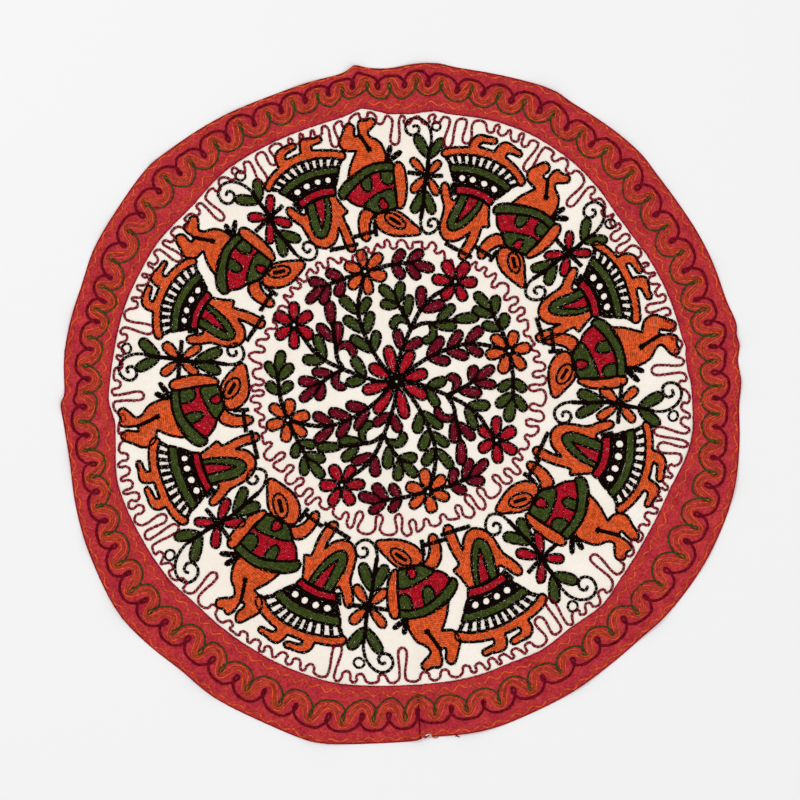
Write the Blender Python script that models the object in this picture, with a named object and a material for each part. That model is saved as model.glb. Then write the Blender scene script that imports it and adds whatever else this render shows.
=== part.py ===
"""A round tablecloth: a cream centre cloth with a wide red border laid over its edge.

The cloth lies spread out and face up. The surface that it lies on is z = 0, +X points to its
right, +Y to its far side, and the origin is the middle of the cloth. A turn is an angle in
degrees about the origin, counted from +X towards +Y.

It was once folded in four, so two soft ridges cross a little off the middle, and the border
ripples between them. Both pieces share one grid of turns, so the border follows the centre
cloth where it lies on it.
"""

import bisect
import math
from collections import namedtuple

import bmesh
import bpy
from mathutils import Vector

MM = 0.001

# Driving sizes, in metres
RIM_RADIUS = 0.512  # mean reach of the border's outer hem
SEAM_RADIUS = 0.435  # mean reach of the border's inner edge
LAP = 0.012  # how far the centre cloth runs on under the border
CENTRE_THICKNESS = 0.0012
BORDER_THICKNESS = 0.0014
CLEARANCE = 0.0003  # air between the two cloths
LAP_MARGIN = 0.001  # level stretch of border past the centre cloth's own edge
STEP_DOWN = 0.010  # run in which the border comes down to the surface

# The uneven edges: how far the hem and the seam stand out (+) or in (-) of their mean
# reach, in millimetres, at each turn
Edge = namedtuple("Edge", "turn hem seam")
EDGES = [
    Edge(0, -6, 2), Edge(4, -1, 1), Edge(7, -3.5, -2.5), Edge(10.5, 3.5, -1.5),
    Edge(11.4, 0, 1), Edge(13.5, 5.5, -2), Edge(18, -0.5, -2), Edge(29, 2, -3),
    Edge(37, 1.5, -5.5), Edge(42.5, 4, -3), Edge(46, 8.5, 2), Edge(57, 8, 12),
    Edge(61, 8, 13.5), Edge(63.3, 11.5, 14.5), Edge(71, 6, 13.5), Edge(81, 0, 7),
    Edge(83.5, 3, 9), Edge(88, -1, 1.5), Edge(92.5, -8, 1.5), Edge(96, -4, 10.5),
    Edge(98, 1.5, 13.5), Edge(99.6, -7, 9), Edge(103, -9, 4.5), Edge(110, -9.5, 3),
    Edge(127, 1, 4.5), Edge(133, 5.5, 0), Edge(136, 9.5, -2), Edge(148, 5, 5),
    Edge(153, 5.5, 5), Edge(160, 0, 6), Edge(171, 0, 4), Edge(178.6, -6.5, 5),
    Edge(179.7, -1, 4), Edge(184, -5, -4), Edge(189.7, -8, 0.5), Edge(195.5, -1.5, 7.5),
    Edge(207, 8, 4), Edge(217.2, 15.5, 1.5), Edge(225, 10.5, -5), Edge(231, 5.5, -5),
    Edge(237, 10, -5), Edge(246, 8, -4.5), Edge(255.2, 11.5, -4.5), Edge(261, 4, -8),
    Edge(266, -2.5, -11), Edge(272.9, -8.5, -13.5), Edge(273.5, -11.5, -13.5),
    Edge(286, -7, -12.5), Edge(293, -9.5, -14), Edge(299.5, -10, -10.5),
    Edge(307, -11.5, -14.5), Edge(315, -10.5, -9), Edge(322, -4, -15), Edge(331, 1, -17),
    Edge(343, 4, -12), Edge(349, 1.5, -1.5), Edge(355, -2.5, 4),
]

# The four arms of the crossed folds. Each runs from the crossing to the hem at its turn, and
# its ridge is so many millimetres high in the centre cloth and at the hem
FOLD_CROSSING = Vector((-0.0275, 0.0485))
Fold = namedtuple("Fold", "turn rise hem_rise")
FOLDS = [
    Fold(11.1, 1.6, 5.0),
    Fold(98.2, 1.8, 6.0),
    Fold(179.7, 1.6, 5.5),
    Fold(273.1, 2.4, 6.0),
]
FOLD_HALF_WIDTH = 0.013  # of a ridge in the centre cloth
FOLD_HEM_HALF_WIDTH = 0.024  # of a ridge at the hem

# Soft ripples of the border between the folds: height at the hem in millimetres, half width
# in degrees, and how many degrees the ripple leans on its way from the seam to the hem
Ripple = namedtuple("Ripple", "turn rise half_turn lean")
RIPPLES = [
    Ripple(3, 3.5, 4.5, 1), Ripple(24, 2.5, 6, -1), Ripple(39, 2.5, 5, 1),
    Ripple(52, 4, 6, -3), Ripple(64, 6, 5, 2), Ripple(86, 5, 5, 2),
    Ripple(107, 4, 5, -1), Ripple(120, 3.5, 5, 0), Ripple(134, 3, 5, 1),
    Ripple(149, 4, 5, 0), Ripple(165, 4.5, 4.5, 1), Ripple(191, 5, 5, -2),
    Ripple(203, 4, 5, 2), Ripple(216, 5.5, 5, 0), Ripple(233, 4.5, 5.5, 2),
    Ripple(256, 4, 5, 0), Ripple(283, 5, 5.5, -2), Ripple(303, 4, 5, 0),
    Ripple(318, 5, 5, 2), Ripple(333, 2.5, 5, 0), Ripple(347, 5, 4.5, -1),
]
RIPPLE_ONSET = 0.02  # how far inside the seam a ripple begins

# The grid
WIDEST_STEP = 3.4  # degrees between two columns at most
NARROWEST_STEP = 0.5  # degrees between two columns at least
FOLD_COLUMNS = (0.0, 0.9, 2.0, 3.3)  # degrees to either side of a fold
CENTRE_ROWS = (0.07, 0.18, 0.31, 0.45, 0.59, 0.73, 0.87)  # of the way to the seam
BORDER_ROWS = (0.35, 0.68, 1.0)  # of the way from the step down to the hem

# Colours of the cloths, linear red, green and blue
CREAM = (0.84, 0.76, 0.67, 1.0)
RED = (0.47, 0.03, 0.035, 1.0)


def smooth(low, high, value):
    """Ease from 0 at low to 1 at high."""
    part = min(max((value - low) / (high - low), 0.0), 1.0)
    return part * part * (3.0 - 2.0 * part)


def row_slope(i, column):
    """Slope of an edge at a row of its table, level where the edge turns back."""
    count = len(EDGES)
    before, here, after = EDGES[i - 1], EDGES[i], EDGES[(i + 1) % count]
    rise_in = (here[column] - before[column]) / ((here.turn - before.turn) % 360.0)
    rise_out = (after[column] - here[column]) / ((after.turn - here.turn) % 360.0)
    if rise_in * rise_out <= 0.0:
        return 0.0
    return 2.0 * rise_in * rise_out / (rise_in + rise_out)


def edge_offset(turn, column):
    """How far an edge stands out of its mean reach at any turn, in metres."""
    turn %= 360.0
    i = bisect.bisect_right(EDGES, turn, key=lambda row: row.turn) - 1
    j = (i + 1) % len(EDGES)
    span = (EDGES[j].turn - EDGES[i].turn) % 360.0
    t = (turn - EDGES[i].turn) / span
    bend = row_slope(i, column) * span * t * (1 - t) ** 2
    bend -= row_slope(j, column) * span * t * t * (1 - t)
    eased = smooth(0.0, 1.0, t)
    value = EDGES[i][column] * (1 - eased) + EDGES[j][column] * eased + bend
    return value * MM


def hem_reach(turn):
    return RIM_RADIUS + edge_offset(turn, 1)


def seam_reach(turn):
    return SEAM_RADIUS + edge_offset(turn, 2)


def at(turn, reach):
    """The point so far from the origin at a turn."""
    angle = math.radians(turn)
    return Vector((math.cos(angle), math.sin(angle))) * reach


def fold_height(point):
    """Height of the highest fold ridge at a point."""
    highest = 0.0
    for fold in FOLDS:
        end = at(fold.turn, hem_reach(fold.turn))
        run = end - FOLD_CROSSING
        along = min(max((point - FOLD_CROSSING).dot(run) / run.length_squared, 0.0), 1.0)
        away = (point - FOLD_CROSSING - run * along).length
        outward = smooth(0.8, 1.0, along)
        half_width = FOLD_HALF_WIDTH + (FOLD_HEM_HALF_WIDTH - FOLD_HALF_WIDTH) * outward
        rise = (fold.rise + (fold.hem_rise - fold.rise) * outward) * MM
        highest = max(highest, rise * (1.0 - smooth(0.0, half_width, away)))
    return highest


def ripple_height(point):
    """Height of the border's ripples at a point."""
    turn = math.degrees(math.atan2(point.y, point.x))
    start = seam_reach(turn) - RIPPLE_ONSET
    outward = (point.length - start) / (hem_reach(turn) - start)
    if outward <= 0.0:
        return 0.0
    height = 0.0
    for ripple in RIPPLES:
        crest = ripple.turn + ripple.lean * (outward - 0.5)
        away = abs((turn - crest + 180.0) % 360.0 - 180.0)
        height += ripple.rise * MM * (1.0 - smooth(0.0, ripple.half_turn, away))
    return height * smooth(0.0, 1.0, outward)


def underside(point):
    """Height of the cloth's underside over the surface."""
    return math.hypot(fold_height(point), ripple_height(point))


def column_turns():
    """The turns of the grid: the rows of the table, the folds, and more where they are far apart."""
    wanted = [row.turn for row in EDGES]
    for fold in FOLDS:
        for step in FOLD_COLUMNS:
            wanted += [(fold.turn - step) % 360.0, (fold.turn + step) % 360.0]
    kept = []
    for turn in sorted(wanted):
        if not kept or turn - kept[-1] >= NARROWEST_STEP:
            kept.append(turn)
    turns = []
    for here, after in zip(kept, kept[1:] + [kept[0] + 360.0]):
        parts = math.ceil((after - here) / WIDEST_STEP)
        turns += [here + (after - here) * part / parts for part in range(parts)]
    return turns


def centre_point(turn, row):
    """A grid point of the centre cloth: rows run from the crossing to the seam and under it."""
    if row <= len(CENTRE_ROWS):
        share = 0.0 if row == 0 else CENTRE_ROWS[row - 1]
        flat = FOLD_CROSSING.lerp(at(turn, seam_reach(turn)), share)
    elif row == len(CENTRE_ROWS) + 1:
        flat = at(turn, seam_reach(turn))
    else:
        flat = at(turn, seam_reach(turn) + LAP)
    return flat.to_3d() + Vector((0, 0, underside(flat)))


def border_point(turn, row):
    """A grid point of the border: two rows on the centre cloth, the rest down on the surface."""
    level_end = seam_reach(turn) + LAP + LAP_MARGIN
    foot = level_end + STEP_DOWN
    if row < 2:
        flat = at(turn, level_end if row else seam_reach(turn))
        raised = CENTRE_THICKNESS + CLEARANCE
    else:
        share = 0.0 if row == 2 else BORDER_ROWS[row - 3]
        flat = at(turn, foot + (hem_reach(turn) - foot) * share)
        raised = 0.0
    return flat.to_3d() + Vector((0, 0, underside(flat) + raised))


def make_sheet(name, turns, first_row, rows, place, thickness):
    """Spin a line of rows into a round grid, lay each point in its place, then thicken it."""
    bm = bmesh.new()
    line = [bm.verts.new((row, 0.0, 0.0)) for row in range(first_row, rows)]
    edges = [bm.edges.new(pair) for pair in zip(line, line[1:])]
    step = 2.0 * math.pi / len(turns)
    bmesh.ops.spin(
        bm, geom=line + edges, axis=(0, 0, 1), cent=(0, 0, 0),
        angle=2.0 * math.pi, steps=len(turns), use_merge=True,
    )
    bmesh.ops.remove_doubles(bm, verts=bm.verts[:], dist=0.0001)
    for vert in bm.verts:
        row = round(vert.co.length)
        column = round(math.atan2(vert.co.y, vert.co.x) / step) % len(turns)
        vert.co = place(turns[column], row)
    grown = bmesh.ops.extrude_face_region(bm, geom=bm.faces[:])["geom"]
    upper = [item for item in grown if isinstance(item, bmesh.types.BMVert)]
    bmesh.ops.translate(bm, verts=upper, vec=(0, 0, thickness))
    bmesh.ops.recalc_face_normals(bm, faces=bm.faces[:])
    mesh = bpy.data.meshes.new(name)
    bm.to_mesh(mesh)
    bm.free()
    mesh.shade_smooth()
    mesh.set_sharp_from_angle(angle=math.radians(40))
    return bpy.data.objects.new(name, mesh)


def cloth_material(name, colour, roughness):
    material = bpy.data.materials.new(name)
    material.use_nodes = True
    shader = material.node_tree.nodes["Principled BSDF"]
    shader.inputs["Base Color"].default_value = colour
    shader.inputs["Roughness"].default_value = roughness
    shader.inputs["Metallic"].default_value = 0.0
    material.diffuse_color = colour
    return material


def make_centre_cloth(turns):
    rows = len(CENTRE_ROWS) + 3
    cloth = make_sheet("centre_cloth", turns, 0, rows, centre_point, CENTRE_THICKNESS)
    cloth.data.materials.append(cloth_material("cream_cotton", CREAM, 0.9))
    return cloth


def make_border(turns):
    # The spin's line starts one step out, so that the ring is open in the middle
    rows = len(BORDER_ROWS) + 3
    border = make_sheet(
        "border", turns, 1, rows + 1,
        lambda turn, row: border_point(turn, row - 1), BORDER_THICKNESS,
    )
    border.data.materials.append(cloth_material("red_cotton", RED, 0.85))
    return border


def main():
    for old in list(bpy.data.objects):
        bpy.data.objects.remove(old, do_unlink=True)
    collection = bpy.data.collections.new("round_tablecloth")
    bpy.context.scene.collection.children.link(collection)
    turns = column_turns()
    collection.objects.link(make_centre_cloth(turns))
    collection.objects.link(make_border(turns))


main()
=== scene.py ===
"""Round cotton tablecloth with a red border and chain stitch embroidery, spread out flat."""
import math
from collections import defaultdict, namedtuple

import bmesh
import bpy
import numpy as np
from mathutils import Matrix, Vector
from mathutils.bvhtree import BVHTree


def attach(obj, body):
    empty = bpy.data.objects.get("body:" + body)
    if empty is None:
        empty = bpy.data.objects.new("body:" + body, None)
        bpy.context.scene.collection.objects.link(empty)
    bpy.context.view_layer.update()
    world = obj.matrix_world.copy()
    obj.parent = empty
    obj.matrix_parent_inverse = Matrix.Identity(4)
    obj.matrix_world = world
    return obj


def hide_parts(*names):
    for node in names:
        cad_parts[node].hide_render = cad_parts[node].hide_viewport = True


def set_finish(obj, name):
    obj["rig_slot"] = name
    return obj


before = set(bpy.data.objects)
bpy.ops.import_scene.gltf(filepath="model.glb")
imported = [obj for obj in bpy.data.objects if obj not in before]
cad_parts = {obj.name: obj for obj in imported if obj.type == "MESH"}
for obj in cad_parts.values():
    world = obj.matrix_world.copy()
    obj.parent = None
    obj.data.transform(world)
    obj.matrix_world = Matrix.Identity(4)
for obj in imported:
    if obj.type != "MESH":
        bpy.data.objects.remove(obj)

bl_info = {
    "name": "Embroidered round tablecloth",
    "version": (1, 0, 0),
    "blender": (4, 5, 0),
    "location": "View3D > Sidebar > Tablecloth",
    "description": "Lays a round tablecloth and works its chain stitch embroidery",
    "category": "Object",
}

# Lengths of the pattern are in units of 1.5 mm, half a chain stitch. Turns are in degrees from
# +X towards +Y. A motif is drawn as on the far side of the cloth: x runs clockwise round the
# cloth and y runs outward
UNIT = 0.0015

# Middles of the pattern's parts
MEDALLION_MIDDLE = (-5.0, 23.0)
RING_MIDDLE = (-3.5, 19.5)
INNER_MEANDER_MIDDLE = (-5.0, 17.0)

# Stage: the floor, the lights (name, place, width, power), the world's light and the camera
FLOOR_COLOUR, FLOOR_REACH = (0.82, 0.82, 0.82), 4.0
LIGHTS = (("key", (-2.6, 2.3, 5.0), 2.2, 98.0), ("fill", (2.6, -2.0, 5.0), 3.0, 48.0))
WORLD_STRENGTH = 0.78
LENS, SENSOR = 85.0, 36.0
VIEW_MIDDLE, VIEW_WIDTH = (-0.00225, 0.00675), 1.2

# Medallion. A bough is drawn along its flower's turn: first value outward, second to the left
Leaf = namedtuple("Leaf", "foot tip width")
FLOWER_TURNS_LONG = (105.0, 14.0, -75.0, -161.0)
FLOWER_TURNS_SHORT = (59.5, -30.5, -118.0, 151.0)
CENTRE_PETALS = (  # turn and length
    (62.8, 34), (16.4, 32), (-27.0, 34.5), (-76.0, 38), (-123.6, 38), (-164.0, 35),
    (149.4, 31), (104.5, 36.5),
)
LONG_REACH = 115.0
LONG_STEM = ((0, 0), (20, 10), (35, 16), (52, 19.5), (68, 20), (84, 17), (98, 11), (113, 3))
LONG_LEAVES = (
    Leaf((36, 17), (55, 33), 9.5), Leaf((36, 17), (55, 6), 9.5),
    Leaf((57, 20), (75, 33), 9.5), Leaf((55, 19), (74, 5), 9.5),
    Leaf((76, 20), (97, 31), 9.5), Leaf((75, 18), (89, 3), 9.2),
)
CLUSTER_STEM = ((114, 2), (114, 20), (112, 34), (109, 48))
CLUSTER_LEAVES = (
    Leaf((114, 26), (123, 40), 9.2), Leaf((113, 26), (98, 34), 9.2),
    Leaf((112, 42), (118, 59), 8.8), Leaf((111, 40), (93, 50), 9.2),
    Leaf((110, 45), (99, 66), 9.2),
)
SHORT_REACH = 116.5
SHORT_STEM = ((0, 0), (15, 8), (34, 13), (55, 15), (75, 14.5), (90, 11), (104, 5), (115, 1))
SHORT_NEAR_LEAVES = (
    Leaf((29, 13), (43, 27), 9.2), Leaf((30, 11), (49, 1), 9.2),
    Leaf((74, 15), (93, 25), 9.5), Leaf((74, 13), (92, -2), 9.2),
)
SHORT_SIDE_STEMS = (
    ((53, 14), (63, 8), (70, -2), (77, -12), (85, -22)),
    ((52, 15), (60, 25), (67, 38)),
)
SHORT_SIDE_LEAVES = (
    Leaf((69, -2), (79, -25), 9.2), Leaf((74, -5), (95, -12), 9.5),
    Leaf((83, -19), (97, -39), 9.5), Leaf((60, 24), (80, 31), 9.5),
    Leaf((66, 37), (59, 54), 9.2), Leaf((67, 38), (75, 62), 9.2),
    Leaf((68, 38), (87, 46), 9.5),
)
SHORT_HOOKS = (((56, 19), (55, 29), (49, 33), (42, 30)), ((68, 1), (63, -6), (55, -7), (48, 0)))
HOOK_WIDTH = 8.0
FLOWER_PETAL, FLOWER_PETAL_WIDTH = (4.0, 22.3), 10.2  # foot and tip from the middle, and width
CENTRE_PETAL_FOOT, CENTRE_PETAL_WIDTH = 8.0, 10.6
CENTRE_RAY = (2.0, 9.0)  # ends of the black rays between the knot and the petals
FLOWER_KNOT, CENTRE_KNOT, WHITE_KNOT = 2.7, 3.0, 0.9  # reaches

# Ring of dancers and sprigs: turn, reach, lean in degrees, size, where its wobble starts, and
# how long its legs are
Place = namedtuple("Place", "turn reach lean size wobble legs", defaults=(1.0,))
WOMEN = (
    Place(113.5, 209.5, 0, 1.0, 0.3), Place(68.2, 210, 0.5, 1.02, 1.9),
    Place(24.5, 216, 4, 1.03, 3.1), Place(-19.7, 223, 1.5, 1.09, 4.6),
    Place(-66.0, 226, 0, 1.12, 5.2), Place(-112.0, 227, -5, 1.12, 0.9),
    Place(-156.5, 221, -4, 1.05, 2.5), Place(159.3, 215.5, -4, 1.01, 3.8),
)
MEN = (
    Place(96.5, 210.5, 0, 1.0, 1.1), Place(51.3, 214, 0, 0.98, 2.7),
    Place(8.3, 218, -3, 1.05, 4.2, 1.14), Place(-37.0, 218, 1, 1.05, 5.9, 1.16),
    Place(-83.8, 220, 0, 1.05, 0.2, 1.1), Place(-128.9, 220, 0, 1.08, 1.5, 1.1),
    Place(-173.3, 215.5, -1, 1.04, 3.3, 1.14), Place(141.8, 210, 0, 0.98, 4.9),
)
SPRIGS = (
    Place(82.5, 212, 0, 0.98, 0.6), Place(37.8, 215.5, 0, 1.0, 1.7),
    Place(-5.2, 221.5, 0, 1.08, 2.2), Place(-50.7, 224.5, 0, 1.12, 3.5),
    Place(-97.3, 224.5, 0, 1.12, 4.1), Place(-142.3, 226.5, 0, 1.14, 5.0),
    Place(173.2, 219, 0, 1.07, 5.7), Place(127.8, 209.5, 0, 1.0, 0.1),
)

# A dancer with a wide skirt. A third value marks a sharp corner
SKIRT_SHAPE = (  # height at its middle, half its width there, and the fall to its ends
    (-8.0, 17.0, 3.0), (0.0, 20.0, 3.5), (12.0, 28.0, 5.0), (22.0, 33.0, 7.0), (33.0, 41.0, 12.0),
)
SKIRT_HEM = (  # with both feet
    (-40, 20.5), (-44, 23), (-42, 28), (-32, 33.5), (-21, 37, 1), (-21, 45), (-16, 51), (-7, 52),
    (1, 52), (2, 48), (-5, 46), (-11, 44.5), (-12, 40.3, 1), (4, 40.5, 1), (5, 46), (9, 52),
    (16, 52), (22, 50), (28, 49.5), (28.5, 45), (21, 44.5), (16, 43.5), (15, 39.5, 1), (27, 36),
    (37, 31.5), (43, 27), (43, 22.5), (39, 20.5), (33, 25), (22, 29.5), (10, 32), (0, 32.5),
    (-10, 32), (-22, 29.5), (-33, 25),
)
RED_BAND, DOTS_BAND, GREEN_BAND, COMB_BAND = (-7.5, 0.0), (1.0, 12.0), (13.0, 21.5), (21.5, 32.5)
COMB_SPOKES, COMB_REACH = 11, 0.96  # number, and share of half the skirt's width
DOT_SHARES = (-0.64, -0.22, 0.23, 0.65)
DOT_HEIGHT, DOT_REACH, DOT_RIM = 7.5, 3.0, 1.0
WOMAN_BODY = (
    (-14, -10, 1), (-17, -17), (-22, -13), (-27, -6), (-31, -3.5), (-34, -7), (-30, -17),
    (-24, -26), (-22, -38), (-19, -49), (-12, -56), (-4, -56.5), (3, -52), (9, -42, 1), (9, -52),
    (8, -62), (9, -68), (15, -68), (17.5, -57), (18, -46), (17, -37), (17, -32, 1), (23.5, -30, 1),
    (20, -22), (16.5, -11, 1), (0, -8),
)
WOMAN_VEIL = (
    (-13, -9, 1), (-14.5, -22), (-15.5, -36), (-13, -44), (-8, -47), (-2, -43), (4, -33),
    (8.5, -20), (10, -9, 1), (-2, -8),
)
WOMAN_WEDGE = ((-5, -9, 1), (-6, -22), (-7, -38, 1), (-1.5, -29), (3.5, -18), (5.5, -9, 1))
WOMAN_STICKS = (((-8, -60), (20, -64)), ((-24, -2), (-19, -12)))

# A dancer in a short coat
LEG_START = 10.0  # height from which legs are made longer or shorter
MAN_LEGS = (
    (-26, -1.5, 1), (-23, 12), (-16, 26, 1), (-27, 28), (-32, 36), (-28, 46), (-22, 55),
    (-16, 51), (-17, 41), (-12, 42), (-12, 50), (-9, 56), (-3, 55), (3, 57), (7, 53),
    (3, 48), (-3, 43), (-1, 38), (8, 32), (13, 22), (14.5, 11.5, 1), (-4, 9.8),
)
MAN_LEG_LINE, MAN_KNEE = ((-12, 42), (-8, 34), (-3, 25)), 1.7
MAN_BAND = (
    (-34, -8.5), (-21.5, 2.8), (-5, 9.8), (10, 11.6), (21, 10.2, 1), (21, 2.5, 1), (9, 3.5),
    (-4, 1), (-16, -6), (-25, -14), (-31, -20), (-35.5, -16),
)
MAN_COAT = (
    (-30, -18, 1), (-22, -27), (-13, -31), (-7, -36), (3, -39), (12, -37), (20, -35, 1),
    (21, -15), (21, 2.5, 1), (9, 3.5), (-4, 1), (-16, -6),
)
MAN_BLOCKS = (
    ((-14, -5, 1), (-4, 1, 1), (-2.5, -8), (-4.5, -16), (-10.5, -15)),
    ((8, 3.5, 1), (20.5, 2.5, 1), (20.5, -8), (14, -11.5), (8.5, -6)),
)
MAN_YOKE = (
    (-13, -31), (-9, -26), (-1, -21.5), (8, -18), (16, -16), (20.5, -17, 1), (20.5, -34, 1),
    (12, -37), (3, -38.5), (-7, -36),
)
MAN_DROP = ((6.5, -24.5), (10.5, -29), (11, -34.5), (4, -35.5), (2.5, -30))
MAN_LONG_ARM = (
    (21, 6), (24.5, 11), (29.5, 8.5), (32, -4), (31.5, -17), (28.5, -29), (23, -36), (20.5, -33),
    (21.5, -20), (21, -8),
)
MAN_BENT_ARM = (
    (-9, -33, 1), (-16, -34), (-21, -42), (-22, -52), (-20.5, -61), (-16, -65), (-12.5, -61),
    (-12, -52), (-9, -44), (-4, -39, 1),
)
MAN_HEAD = (
    (-5, -44), (0, -39), (7, -36.5), (16, -37), (23, -40.5), (31, -49), (38, -58.5), (37, -62.5),
    (29, -63.5), (14, -63), (4, -59), (-3, -52),
)
MAN_EYE, MAN_EYE_SIZE, MAN_EYE_TURN = (15.5, -47.5), (11.2, 6.0), -38.0
MAN_SLIT = 6.0  # half the length of the eye's black line
MAN_STICKS = (((-28, -58), (-8, -56)), ((-6, -47), (-6, -61)))
MAN_TASSEL, TASSEL_WIDTH = (((13, 11), (19.5, 27)), ((14, 11), (29, 21))), 3.0

# A sprig: its flower is at the middle
SPRIG_STEM = ((0, 0), (1, 10), (1, 20), (2, 32), (0, 43), (-6, 52), (-15, 56), (-23, 53),
              (-26, 46), (-23, 39), (-16, 38), (-12, 43), (-15, 48), (-19, 46))
SPRIG_RING, SPRIG_RING_REACH = (4.0, 51.0), 4.6
SPRIG_FOOT = ((0, 0), (-1, -14), (0, -30), (0, -44), (3, -54), (10, -59), (18, -55), (20, -48),
              (15, -42), (9, -45), (10, -51), (14, -50))
SPRIG_LEAVES = (
    Leaf((1, 19), (-14, 38), 9), Leaf((1, 19), (14, 39), 9),
    Leaf((-1, -15), (-9, -39), 9), Leaf((-1, -15), (12, -37), 9),
)
SPRIG_PETALS, SPRIG_PETAL_WIDTH = ((-16, 15), (14, 17), (-13, -19), (14, -18)), 8.0
SPRIG_PETAL_FOOT = 0.15  # as a share of its tip's distance
SPRIG_TICKS = ((-18.5, -0.5), (17.5, 1.5))

# How far each figure reaches out and in: places across it and heights there
Figures = namedtuple("Figures", "spots top bottom")
RING = (
    Figures(
        WOMEN,
        ((-46, 20), (-44, 27), (-23, 38), (-22, 55), (30, 55), (31, 38), (44, 27), (46, 20)),
        ((-11, -62), (8, -70), (16, -70), (22, -66)),
    ),
    Figures(
        MEN,
        ((-34, 0), (-33, 50), (-28, 59), (6, 60), (9, 56), (12, 36), (15, 30), (30, 24), (31, 0)),
        ((-29, -62), (-23, -67), (-10, -67), (-8, -60), (0, -62), (37, -64)),
    ),
    Figures(
        SPRIGS,
        ((-28, 0), (-27, 56), (-14, 59), (0, 57), (10, 56), (11, 40), (15, 38), (16, 0)),
        ((2, -58), (18, -60)),
    ),
)
# How far the medallion reaches out: degrees from the nearest long bough, and reach
MEDALLION_RIM = (
    (0, 139), (8, 136), (12, 131), (18, 131.5), (22, 131), (26, 134), (31, 131), (37, 137),
    (45, 140),
)

# Meanders between the figures. Each keeps clear of the figures beside it
Meander = namedtuple("Meander", "pitch gain least")  # a deep loop adds a share to the pitch
OUTER_MEANDER, INNER_MEANDER = Meander(15.5, 0.08, 9.0), Meander(11.5, 0.33, 7.0)
OUTER_DEPTH, OUTER_INSET = 30.0, 3.0  # depth of its loops, and how far they stay off the seam
INNER_CREST, INNER_FOOT = 150.5, 124.0
MEANDER_GAP, MEDALLION_GAP = 2.5, 1.0
FIGURES_HEAD, FIGURES_FOOT = 268.0, 150.0  # usual reaches of the figures' outer and inner ends
FIGURE_SPAN = 20.0  # degrees from its middle within which a figure ends
USUAL_SEAM = 290.0

# The border's pattern: turns of the loops of the scalloped line. Each stretch starts where the
# one before it ends and holds so many even scallops
SCALLOP_START = 1.1
SCALLOPS = (
    (19.7, 4), (36.9, 3), (65.1, 5), (85.2, 4), (98.6, 3), (112.1, 3), (128.4, 3),
    (144.2, 3), (156.4, 2), (165.0, 2), (195.9, 6), (217.1, 4), (238.7, 4), (262.6, 4),
    (273.1, 2), (321.9, 8), (334.5, 2), (361.1, 5),
)
CREST_INSET, FOOT_INSET = 11.0, 41.5  # of the scallops' crests and feet, as they are drawn
SCALLOP_INSETS = (  # where they lie on the cloth: turn, and insets of crests and feet
    (0, 11, 38), (15, 13, 44), (30, 12.5, 43.5), (45, 11, 38.5), (62, 11, 37), (75, 11, 36),
    (90, 8, 32), (104, 5, 28.5), (118, 7, 34), (130, 10, 40), (145, 10.5, 40), (158, 13.5, 38),
    (170, 14, 38.5), (185, 8.5, 34), (200, 13, 39), (215, 13, 45), (230, 15, 46), (248, 14, 45),
    (262, 13, 45), (278, 14, 42), (300, 16, 41), (318, 13, 39), (330, 13, 45.5),
    (345, 13, 42.5), (355, 13, 38),
)
SCALLOP_REACH = 320.0  # reach at which the scallops are drawn
# Insets of the drawn rows: the outer one with its loops, the inner one with its tips, the band
CREST_SIDE, LOOP_NECK, LOOP_SHOULDER, LOOP_END = 13.0, 19.5, 25.0, 29.0
FOOT_SIDE, TIP_NECK, TIP_SHOULDER, TIP_END = 38.5, 31.0, 26.0, 19.5
SNAKE_FOOT, SNAKE_LOW, SNAKE_HIGH, SNAKE_CREST = 36.0, 32.0, 24.0, 16.6
SERPENTINE_ROWS = (  # place across it, width and tone of each row
    (-2.5, 0.33, 0.32), (0.0, 0.3, 0.16), (2.5, 0.33, 0.32),
)
Wave = namedtuple("Wave", "pitch inset height at_seam")  # pitch in degrees
RICKRACK = (Wave(3.2, 4.4, 2.0, False), Wave(3.1, 7.2, 2.4, True))
WAVE_POINTS = 8  # in each pitch
WAVE_ROOM = 12.0  # inset of the scallops under which the wave at the hem is drawn in
HEM_LINE, SEAM_LINE = 0.9, -0.1  # insets of the red lines that hold the border's edges
JOIN_SHADE_TURN, JOIN_SHADE_INSETS = 273.2, (1.0, 46.0)  # where the ends of the border's cloth meet; a dark maroon thread line there is painted shade of the fold crease
# Loose ends of thread at the hem: colour, and for each point a turn and its way in from the hem
LOOSE_ENDS = (
    (
        "white",
        ((273.6, 1.0), (274.0, -1.2), (274.6, 0.6), (275.2, 2.2), (275.0, 3.4), (274.2, 2.4)),
    ),
    ("white", ((274.9, 1.2), (275.5, -0.4), (276.0, 1.0))),
    ("orange", ((275.2, 0.6), (275.9, -1.6), (276.3, -0.4))),
    ("maroon", ((279.2, 2.5), (279.4, -0.5), (279.9, -2.4))),
    ("maroon", ((279.0, 1.6), (279.6, 0.6), (279.3, -1.4))),
)


def colour_setting(name, description, default):
    return bpy.props.FloatVectorProperty(
        name=name, description=description, default=default, size=3, min=0.0, max=1.0,
        subtype="COLOR",
    )


def length_setting(name, description, default, low, high):
    return bpy.props.FloatProperty(
        name=name, description=description, default=default, min=low, max=high,
        unit="LENGTH", subtype="DISTANCE",
    )


def share_setting(name, description):
    return bpy.props.FloatProperty(
        name=name, description=description, default=0.5, min=0.0, max=1.0, subtype="FACTOR",
    )


class ClothSettings(bpy.types.PropertyGroup):
    cream: colour_setting("Cream", "Colour of the centre cloth", (0.872, 0.799, 0.714))
    red: colour_setting("Red", "Colour of the border", (0.413, 0.0245, 0.0315))
    weave: length_setting(
        "Weave", "Distance between two threads of the cloths", 0.0007, 0.0003, 0.003,
    )
    smoothing: bpy.props.IntProperty(
        name="Smoothing", description="How often each face of a cloth is divided",
        default=1, min=0, max=3,
    )
    mottle: share_setting("Mottle", "How uneven the dye of the cloths is")


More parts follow.
